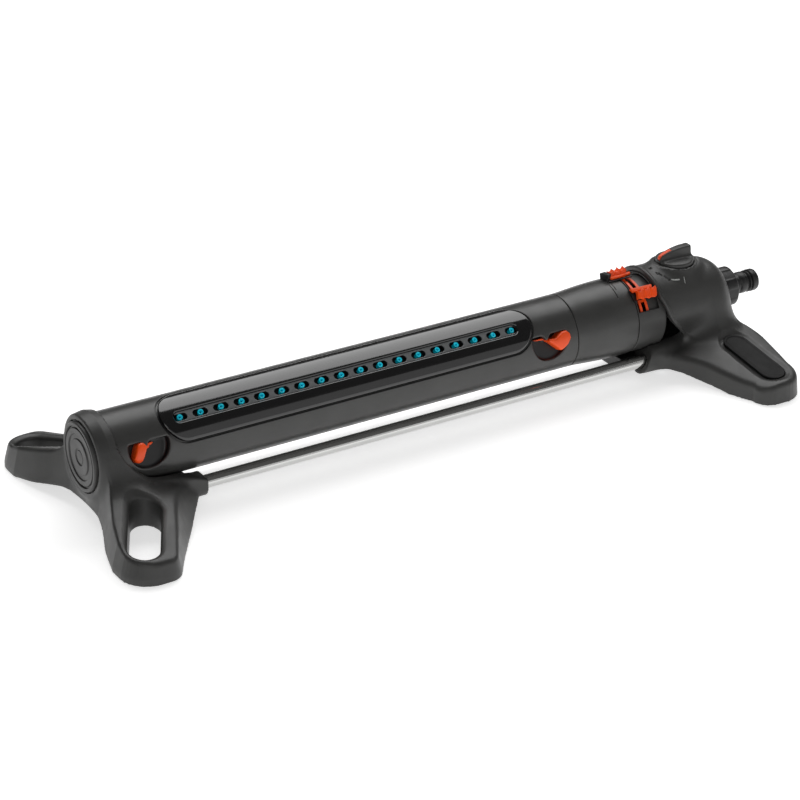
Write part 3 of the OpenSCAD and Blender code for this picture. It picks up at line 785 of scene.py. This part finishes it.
def right_foot(p):
    x, s, z = foot_parts(p)
    rho = radius(p)
    wall = polygon(x, s, RIGHT_OUTLINE) + 0.08 * z
    body = right_body(p)
    u, v, out = at_badge(p)
    plan = capsule(u, v, 61.8, 10.5)
    dish = np.clip((4.5 - plan) / 4, 0, 1)
    dish = dish * dish * (3 - 2 * dish)
    body = np.where(p[..., 1] < 0, body + 1.3 * dish * (out > -6), body)
    hollow = np.maximum(smooth_max(wall + WALL, z - right_top(x, s) + 4.5, 2), 36 - s)
    body = np.where(p[..., 1] < 0, smooth_max(body, -np.maximum(plan, -2.6 - out), 0.8), body)
    body = smooth_max(body, -np.maximum(rho - 30, x - 192), 0.8)
    inner = np.maximum(rho - 27.5, between(x, 191, 244))
    bore = np.maximum(rho - 12.1, 240 - x)
    nut = np.maximum(rho - 17.2, 254 - x)
    spindle = np.maximum(np.hypot(x - KNOB_X, s) - 4.5, AXIS_Z - z)
    seat = np.maximum(np.hypot(x - KNOB_X, s) - DISC_R - 0.4, KNOB_LOW[2] - 0.3 - z)
    rod = np.maximum(np.hypot(s - ROD_Y, z - ROD_Z) - SOCKET_R, x - 203)
    body = np.maximum(body, -np.maximum(dome_cuts(p), -0.6 - body))
    for cut in (hollow, inner, bore, nut, spindle, seat, rod, screw_cut(x, s, z, 195)):
        body = np.maximum(body, -cut)
    return np.maximum(body, -z)


def badge(p):
    """Blank inlay plate with a dished rim."""
    u, v, out = at_badge(p)
    plan = capsule(u, v, 61.2, 10.2)
    inner = np.clip(-(plan + 1.6) / 1.2, 0, 1)
    return smooth_max(smooth_max(plan, out + 0.5 + 0.5 * inner, 0.7), -2.5 - out, 0.3)


def make_feet():
    step = 1.3
    y = steps((-HALF_SPAN - 2, step), (HALF_SPAN + 2, step))
    left = solid("left_foot_moulding", left_foot,
                 (steps((-305, step), (-197, step)), y, steps((-1.5, step), (80, step))))
    piece(left, "left_foot")
    right = solid("right_foot_moulding", right_foot,
                  (steps((171, step), (276, step)), y, steps((-1.5, step), (83, step))))
    piece(right, "right_foot")
    plate = solid("badge_plate", badge,
                  (steps((228, 0.5), (258, 0.5)), steps((-106, 0.5), (-39, 0.5)),
                   steps((12, 0.4), (34, 0.4))))
    piece(plate, "right_badge", PLATE)
    marks = solid("dial_marks", dial_marks,
                  (steps((KNOB_X - 16, 0.35), (KNOB_X - 3, 0.35)), steps((-24, 0.35), (-15, 0.35)),
                   steps((60, 0.35), (80, 0.35))))
    piece(marks, "right_foot", LIGHT)


# ---------- the spray tube ----------

def panel_plan(p, grow=0.0):
    u, side, _ = at_angle(p, PANEL_ANGLE, PANEL_X)
    return capsule(u, side, PANEL_LENGTH + 1.7 * grow, PANEL_HALF) - grow


def slot_plan(p, grow=0.0):
    u, side, _ = at_angle(p, REST_SWING, SLOT_X)
    return capsule(u, side, SLOT_LENGTH, SLOT_HALF) - grow


def front_side(p, degrees):
    return -at_angle(p, degrees)[2]


def pocket_plan(u, side):
    """The sweep of a width lever: a round with a dip in its upper edge."""
    dip = 3.9 * np.exp(-(((u + 2.6) / 2.4) ** 2))
    return smooth_max(np.hypot(u, side) - 15.6, side - 3.9 + dip, 2)


def tube_skin(p):
    rho = radius(p)
    shell = np.maximum(rho - TUBE_R, BORE_R - rho)
    body = smooth_max(shell, between(p[..., 0], TUBE_X0, TUBE_X1), 0.7)
    for middle in LEVER_X.values():
        u, side, out = at_angle(p, LEVER_ANGLE, middle)
        plan = pocket_plan(u, side)
        cup = np.maximum(np.maximum(plan - 1.6, 19 - out), rho - TUBE_R + 0.1)
        body = np.minimum(body, cup)
        body = smooth_max(body, -smooth_max(plan, 21 - out, 2.4), 1.8)
        body = np.maximum(body, -np.maximum(np.hypot(u, side) - 2.05, 10 - out))
    groove = np.maximum(np.maximum(panel_plan(p, 0.9), 26.6 - rho), front_side(p, PANEL_ANGLE))
    body = smooth_max(body, -groove, 0.5)
    slot = np.maximum(slot_plan(p, 0.2), front_side(p, REST_SWING))
    return np.maximum(body, -slot)


def panel_skin(p):
    """Gloss cover around the nozzle row: raised, with rounded edges and a bevelled slot."""
    rho = radius(p)
    plan = smooth_max(panel_plan(p), rho - 29.15, 1.3)
    slot = smooth_max(-slot_plan(p) + 0.9 * np.clip(rho - 28.2, 0, 2), rho - 29.15, 0.6)
    body = np.maximum(np.maximum(plan, slot), 27.15 - rho)
    return np.maximum(body, front_side(p, PANEL_ANGLE))


NOZZLE_INDEX = np.arange(NOZZLES)
NOZZLE_XS = NOZZLE_ROW_X + (NOZZLE_INDEX - (NOZZLES - 1) / 2) * NOZZLE_PITCH
NOZZLE_TILTS = NOZZLE_FAN * (2 * NOZZLE_INDEX / (NOZZLES - 1) - 1)


def insert_web(p):
    u, side, out = at_angle(p, REST_SWING)
    body = smooth_max(slot_plan(p, -0.15), out - 27.2 - 0.04 * side, 0.4)
    body = np.maximum(body, 23.6 - out)
    nearest = np.clip(np.round((u - NOZZLE_XS[0]) / NOZZLE_PITCH), 0, NOZZLES - 1).astype(int)
    du = u - NOZZLE_XS[nearest] - NOZZLE_TILTS[nearest] / 10
    pocket = capsule(du, side, 11.4 + 0.4 * (out - 26), 2.5 + 0.1 * (out - 26))
    return smooth_max(body, -pocket, 0.5)


def paint_shade_black(obj, chosen):
    """Gives the black material, as painted shade, to the faces whose centre is chosen."""
    obj.data.materials.append(BLACK_AND_PAINTED_SHADE)
    for face in obj.data.polygons:
        if chosen(np.array(face.center) / MM):
            face.material_index = 1


# Chooses the lever pocket faces that get painted shade.
def in_lever_pocket(spot):
    u, side, out = at_angle(spot, LEVER_ANGLE)
    near = min(abs(u - middle) for middle in LEVER_X.values())
    return near < 17 and out > 0 and radius(spot) < 26.6 and abs(side) < 20


# Chooses the nozzle pocket walls and floor that get painted shade.
def in_nozzle_pocket(spot):
    _, side, out = at_angle(spot, REST_SWING)
    return out < 26.8 + 0.04 * side


def make_tube():
    dense = steps((-180, 4), (-12, 0.4), (-1, 1.2), (22, 0.8), (68, 0.4), (84, 0.8), (108, 4),
                  (180, 4))
    x = steps((-275, 0.5), (-272, 2), (-262, 0.8), (-210, 5), (60, 0.8), (104, 2), (110, 0.4),
              (112.5, 0.4))
    depth = steps((18.4, 0.5), (24, 0.4), (29, 0.4))
    shell = solid("tube_moulding", tube_skin, (x, depth, dense), around_axis, True)
    piece(shell, "tube_shell", CHARCOAL_TUBE)
    # Painted shade: the lever pockets are coloured black for the shade that falls in them.
    paint_shade_black(shell, in_lever_pocket)
    panel = steps((-14, 0.4), (-2, 1), (22, 0.4), (60, 1), (70, 0.4), (84, 0.4))
    x = steps((-233, 0.4), (-212, 2.5), (55, 0.4), (78, 0.4))
    piece(solid("panel_cover", panel_skin, (x, steps((26.4, 0.25), (30, 0.25)), panel),
                around_axis), "trim_panel")
    x = steps((-226.4, 0.45), (64.4, 0.45))
    web = solid("nozzle_web", insert_web,
                (x, steps((22.6, 0.4), (29.8, 0.4)), steps((24, 0.75), (58, 0.75))), around_axis)
    piece(web, "nozzle_insert", WEB)
    # Painted shade: the walls and floor of the nozzle pockets are coloured black for the shade in them.
    paint_shade_black(web, in_nozzle_pocket)


def on_tube(v, degrees, x, tilt=0.0, out=0.0):
    """Places local points (Z outward, X along) on the tube at an angle."""
    a, t = math.radians(degrees), math.radians(tilt)
    u = x + v[:, 0] * math.cos(t) + v[:, 2] * math.sin(t)
    w = out - v[:, 0] * math.sin(t) + v[:, 2] * math.cos(t)
    y = v[:, 1] * math.cos(a) - w * math.sin(a)
    return np.stack([u, y, AXIS_Z + v[:, 1] * math.sin(a) + w * math.cos(a)], -1)


NOZZLE = [(-2.6, 0.6), (-2.6, 1.5), (0.9, 1.5), (1.6, 2.0), (2.4, 2.0), (2.9, 1.6), (3.9, 1.5),
          (4.2, 1.9), (4.7, 2.15), (5.2, 2.1), (5.5, 1.7), (5.5, 1.35), (5.2, 1.05), (4.4, 0.7),
          (3.4, 0.6)]


def make_nozzles():
    shape, sides = lathe(NOZZLE, 32)
    verts, faces = [], []
    for x, tilt in zip(NOZZLE_XS, NOZZLE_TILTS):
        shift = len(verts) * len(shape)
        verts.append(on_tube(shape, REST_SWING, x, tilt, NOZZLE_SEAT))
        faces.extend(tuple(i + shift for i in face) for face in sides)
    obj = mesh("nozzle_heads", np.concatenate(verts), faces)
    weld(obj)
    piece(obj, "spray_nozzles")


def sleeve(p):
    x, rho, turn = p[..., 0], radius(p), angle(p)
    outer = rho - along(x, [(111, 28.05), (118, 28.2), (135, 29.4), (152, 30), (166, 29.8)])
    body = smooth_max(np.maximum(outer, BORE_R - rho), between(x, 111.7, SLEEVE_X1), 0.9)
    arc_mm = turn * 0.52
    first = segment(x, arc_mm, (155, 0.9), (153.8, 5.9))
    first = np.minimum(first, segment(x, arc_mm, (153.8, 5.9), (153.1, 19.3)))
    second = segment(x, arc_mm, (156.5, 3.8), (155.7, 11.8))
    lines = np.maximum(np.minimum(first, second) - 0.28, 29.5 - rho)
    return smooth_max(body, -lines, 0.2)


def collar(p):
    x, rho, turn = p[..., 0], radius(p), angle(p)
    body = smooth_max(np.maximum(rho - 29.7, 26 - rho), between(x, 166, 190.9), 0.7)
    body = np.maximum(body, -np.maximum(between(rho, 27.3, 28.7), between(x, 168.4, 188.4)))
    window = np.maximum(between(x, 166.9, 185.6), between(turn, -72, 66) * 0.5)
    body = smooth_max(body, -np.maximum(window, 27.6 - rho), 0.5)
    slit = np.maximum(between(x, 168.8, 177), between(turn, -82, 76) * 0.5)
    return np.maximum(body, -np.maximum(slit, rho - 27.7))


def make_sleeve_and_collar():
    turn = steps((-180, 3), (-6, 0.8), (40, 3), (180, 3))
    x = steps((111, 0.35), (114, 3), (150, 0.3), (159, 1), (164, 0.35), (166.2, 0.35))
    piece(solid("sleeve_moulding", sleeve, (x, steps((24.4, 0.6), (28.4, 0.3), (30.8, 0.3)), turn),
                around_axis, True), "range_sleeve", CHARCOAL_TUBE)
    turn = steps((-180, 3), (-86, 0.7), (-68, 3), (62, 0.7), (80, 3), (180, 3))
    piece(solid("collar_moulding", collar,
                (steps((165.2, 0.4), (191.6, 0.4)), steps((25.2, 0.3), (30.4, 0.3)), turn),
                around_axis, True), "range_collar")


# ---------- levers and sliders ----------

HEART = [(-0.5, -0.2), (4.6, 0.2), (8.5, -2.4), (11, -3.6), (14.4, -3.6), (16.9, -1.2),
         (17.2, 2.2), (14.2, 6.6), (9.6, 9.7), (8.1, 9.7), (-0.8, 1.4)]


def lever(p, name, mirror):
    """Rocker with a thumb pad; mirror is the side that the pad points to."""
    u, side, out = at_angle(p, LEVER_ANGLE, LEVER_X[name])
    u, side = u * mirror, -side
    if mirror < 0:
        pad = segment(u, side, (6, -0.3), (9.2, 6.2)) - 3.6
        arm = segment(u, side, (0, 0), (5, 0.2)) - 0.9
    else:
        pad = polygon(u, side, HEART) - 0.2
        arm = segment(u, side, (0, 0.6), (4, 1.2)) - 1.2
    dome = radius(p) - 30.7 + 0.02 * ((u - 10.5) ** 2 + (side - 2.5) ** 2)
    body = smooth_max(np.maximum(pad, 21.4 - out), dome, 1.6)
    arm = smooth_max(arm, between(out, 21.3, 24.6), 0.5)
    end = -11.5 if mirror > 0 else -4.5
    tail = segment(u, side, (-1, -0.8), (end, -1.4)) - np.interp(u, [end, -3], [0.3, 0.9])
    tail = smooth_max(tail, between(out, 21.3, 24), 0.5)
    hub = smooth_max(np.hypot(u, side) - 2, between(out, 21.2, 23.2), 0.5)
    body = np.minimum(smooth_min(body, arm, 1), np.minimum(hub, tail))
    pin = np.maximum(np.hypot(u, side) - 2, between(out, 15.4, 21.6))
    teeth = np.arctan2(side, u) * 14
    wheel = np.hypot(u, side) - 3.4 - 0.4 * np.cos(teeth)
    return np.minimum(body, np.minimum(pin, np.maximum(wheel, between(out, 15.4, 18.4))))


def make_levers():
    step = 0.45
    for name, mirror in (("left", -1), ("right", 1)):
        middle = LEVER_X[name]
        low, high = sorted((middle - 14.5 * mirror, middle + 20 * mirror))
        grid = (steps((low, step), (high, step)), steps((-32, step), (-9, step)),
                steps((AXIS_Z - 9, step), (AXIS_Z + 14, step)))
        obj = solid("lever_" + name, lambda p, n=name, m=mirror: lever(p, n, m), grid)
        piece(obj, "width_lever_" + name)


SLIDERS = {
    "front": ([(168.6, 36.2), (185.4, 35.8), (187.2, 40), (182.4, 51), (166.4, 48.6)],
              [(164.4, 30.6), (184, 31.6), (183.4, 36.4), (165.4, 36.4)], 35.2, 33.4),
    "top": ([(159.2, -12.5), (174.4, -12.5), (174.8, -1), (159.6, -1)],
            [(157.6, -2), (177, -3), (176.6, 1), (165, 3.6), (158, 3)], 37.0, 33.2),
}


def slider_pad(p, face, flange, top, low_top):
    """Thumb pad: a scalloped face with a lower flange beside it."""
    x, rho, arc_mm = p[..., 0], radius(p), angle(p) * SLIDER_ARC
    plans = [polygon(x, arc_mm, [(a, b * SLIDER_ARC) for a, b in plan]) for plan in (face, flange)]
    third = (face[1][0] - face[0][0]) / 3
    lean = x - face[0][0] + 0.3 * (arc_mm - face[0][1] * SLIDER_ARC)
    wave = np.abs(np.mod(lean, third) / third - 0.5) * 2
    block = smooth_max(plans[0] + 0.9 * (1 - wave ** 2), rho - top + 1.7 * (1 - wave ** 2), 0.5)
    plate = smooth_max(plans[1], rho - low_top, 0.6)
    return smooth_max(smooth_min(block, plate, 0.8), 31.45 - rho, 0.4)


def top_cheek(p):
    """Dark slotted plate under the top tab, with a fin that stands beside the tab."""
    x, rho, turn = p[..., 0], radius(p), angle(p)
    plan = [(153.4, -7), (158.6, -7.4), (158.6, 0.4), (156, 0.4)]
    fin = smooth_max(polygon(x, turn * SLIDER_ARC, plan), rho - 35.6, 0.5)
    fin = np.maximum(fin, 30.4 - rho)
    plate = np.maximum(between(x, 155.6, 176.6), between(turn, -13.5, 5.5) * 0.55)
    plate = np.maximum(plate, between(rho, 30.35, 31.25))
    neck = np.maximum(between(x, 169.1, 171.3), between(turn, -10.9, 2.9) * 0.55)
    return np.minimum(fin, np.maximum(plate, -neck))


def make_sliders():
    step = 0.4
    for name, (face, flange, top, low_top) in SLIDERS.items():
        xs = [a for a, _ in face + flange]
        turns = [b for _, b in face + flange]
        grid = (steps((min(xs) - 1.5, step), (max(xs) + 1.5, step)),
                steps((30.8, 0.3), (top + 0.9, 0.3)),
                steps((min(turns) - 3, 0.7), (max(turns) + 3, 0.7)))
        obj = solid("slider_pad_" + name,
                    lambda p, f=face, g=flange, t=top, w=low_top: slider_pad(p, f, g, t, w),
                    grid, around_axis)
        piece(obj, "range_tab_" + name)
    grid = (steps((152, 0.4), (178, 0.4)), steps((29.9, 0.3), (36.6, 0.3)),
            steps((-16, 0.7), (8, 0.7)))
    piece(solid("slider_cheek_top", top_cheek, grid, around_axis), "range_cheek_top")


# ---------- knob, hose end, caps and bridge ----------

def wing_field(x, y, z, grow=0.0):
    half = 3.4 + 0.08 * (92 - z) + grow
    side = np.abs(y) - half + 0.0015 * (x - 13) ** 2
    top = z - WING_TOP - grow + 0.009 * np.maximum(0, 8 - x) ** 2
    left = -x - 15 - grow - 0.1 * (84 - z)
    body = smooth_max(side, top, 1.6)
    body = smooth_max(body, x - 13.4 - grow, 1.4)
    return smooth_max(smooth_max(body, left, 2.4), KNOB_LOW[2] + 1 - z, 0.2)


def knob(p):
    x, y, z = p[..., 0] - KNOB_X, p[..., 1], p[..., 2]
    out = np.hypot(x, y)
    top = KNOB_LOW[2] + 4.2 - 0.008 * np.maximum(0, out - 6) ** 2
    disc = smooth_max(smooth_max(out - DISC_R, z - top, 1.6), KNOB_LOW[2] - z, 0.4)
    body = smooth_min(disc, wing_field(x, y, z), 3)
    body = np.maximum(body, -np.maximum(out - 4.02, z - KNOB_LOW[2] - 4.6))
    inlay = np.maximum(wing_field(x, y, z, 0.3), pointer_plan(x, y, z, 0.05))
    core = wing_field(x, y, z, -1.4)
    return np.maximum(body, -np.maximum(inlay, -core))


def pointer_plan(x, y, z, grow=0.0):
    return np.maximum(np.maximum(np.abs(y) - 1.5 - grow, x + 4 - grow), KNOB_LOW[2] + 5 - grow - z)


def pointer(p):
    x, y, z = p[..., 0] - KNOB_X, p[..., 1], p[..., 2]
    skin = smooth_max(wing_field(x, y, z, 0.1), pointer_plan(x, y, z), 0.3)
    return np.maximum(skin, -wing_field(x, y, z, -1.35))


def make_knob():
    step = 0.5
    grid = (steps((KNOB_X - 17.5, step), (KNOB_X + 17.5, step)),
            steps((-17.5, step), (17.5, step)), steps((KNOB_LOW[2] - 1, step), (93.5, step)))
    piece(solid("knob_moulding", knob, grid), "flow_knob")
    step = 0.3
    grid = (steps((KNOB_X - 16.5, step), (KNOB_X + 1, step)), steps((-2.4, step), (2.4, step)),
            steps((KNOB_LOW[2] + 3, step), (93.5, step)))
    piece(solid("pointer_inlay", pointer, grid), "knob_pointer")


def nut_ribs(a, pts):
    """Grip ribs on the outside of the nut, fading out at its ends."""
    fade = np.clip(np.minimum(pts[:, 0] - 258.5, 271.4 - pts[:, 0]) / 1.5, 0, 1)
    outside = pts[:, 1] > 14.5
    wave = math.cos(6 * a)
    return np.where(outside, fade * 0.55 * math.copysign(abs(wave) ** 0.5, wave), 0)


def make_hose_end():
    x0, x1 = NUT_LOW[0], NUT_HIGH[0]
    cavity = 267.3
    nut = [(x0, 12.9), (x0, 15.4), (258.4, 15.7), (259.6, 15.75), (262, 15.8), (266, 15.8),
           (269.5, 15.75), (270.8, 15.5), (x1 - 0.5, 14.7), (x1, 13.4), (x1, 11), (x1 - 0.7, 10.4),
           (x1 - 0.7, 8.2), (x1 - 0.2, 7.6), (cavity, 7.6), (cavity, 12.9)]
    piece(turned("nut_moulding", nut, segments=240, ribs=nut_ribs), "union_nut")
    start, end = NIPPLE_LOW[0], NIPPLE_HIGH[0]
    r = NIPPLE_R
    nipple = [(start, 5), (start, 11.6), (start + 2.4, 11.6), (start + 2.4, 7.4), (279.2, 7.4),
              (279.9, 7.9), (280.6, 8.35), (281.5, 8.5), (284.6, 8.5), (285.4, 8.3), (286, 7.7),
              (286.4, 7.2), (287.3, 7.2), (287.8, 8.0), (288.3, 8.55), (288.9, 8.5), (289.3, 7.8),
              (289.6, 7.4), (290.2, 7.4), (290.5, 8.2), (291, r), (end - 1.8, r),
              (end - 0.7, r - 0.4), (end - 0.15, r - 1.1), (end, r - 1.7), (end, 5.6),
              (end - 0.5, 5)]
    piece(turned("plug_moulding", nipple, segments=96), "hose_nipple", BLACK_AND_PAINTED_SHADE)


def make_cap():
    """Left hub cap with plain turned rings in place of a badge."""
    x0 = HUB_X0
    cap = [(-282.6, 25.3), (x0 + 1.4, 25.3), (x0 + 0.5, 25.0), (x0 + 0.05, 24.4), (x0, 23.6),
           (x0 + 0.1, 22.6), (x0 + 0.7, 22.2), (x0 + 1.5, 22.0), (x0 + 1.5, 21.2),
           (x0 + 0.7, 21.0), (x0 + 0.25, 20.6), (x0 + 0.2, 17.2), (x0 + 0.5, 16.8),
           (x0 + 1, 16.6), (x0 + 1, 13.4), (x0 + 0.5, 13.2), (x0 + 0.2, 12.8), (x0 + 0.35, 6.4),
           (x0 + 0.8, 6.1), (x0 + 1.1, 5.7), (x0 + 1.1, 5.0), (x0 + 0.7, 4.6), (x0 + 0.5, 0.01),
           (-282.6, 0.01)]
    piece(turned("hub_cap", cap), "left_cap")


def bridge(p):
    x, s, z = foot_parts(p)
    main = smooth_max(box(x - 166.3, s, 6.6, 16.9) - 0.7, between(z, 7.1, 18.2), 1.2)
    lug = smooth_max(box(x - 179, s, 6.4, 10.9) - 0.6, between(z, 7.1, 17), 1.2)
    body = smooth_min(main, lug, 1.5)
    body = np.maximum(body, SOCKET_R - np.hypot(s - ROD_Y, z - ROD_Z))
    return np.maximum(body, TUBE_R + 2.4 - radius(p))


def make_bridge():
    step = 0.6
    piece(solid("bridge_moulding", bridge,
                (steps((157, step), (188, step)), steps((-20, step), (20, step)),
                 steps((5.5, step), (20, step)))), "rod_bridge")


# ---------- the pieces ----------

camera()
studio()
dress_cad_nodes()
make_feet()
make_tube()
make_nozzles()
make_sleeve_and_collar()
make_levers()
make_sliders()
make_knob()
make_hose_end()
make_cap()
make_bridge()
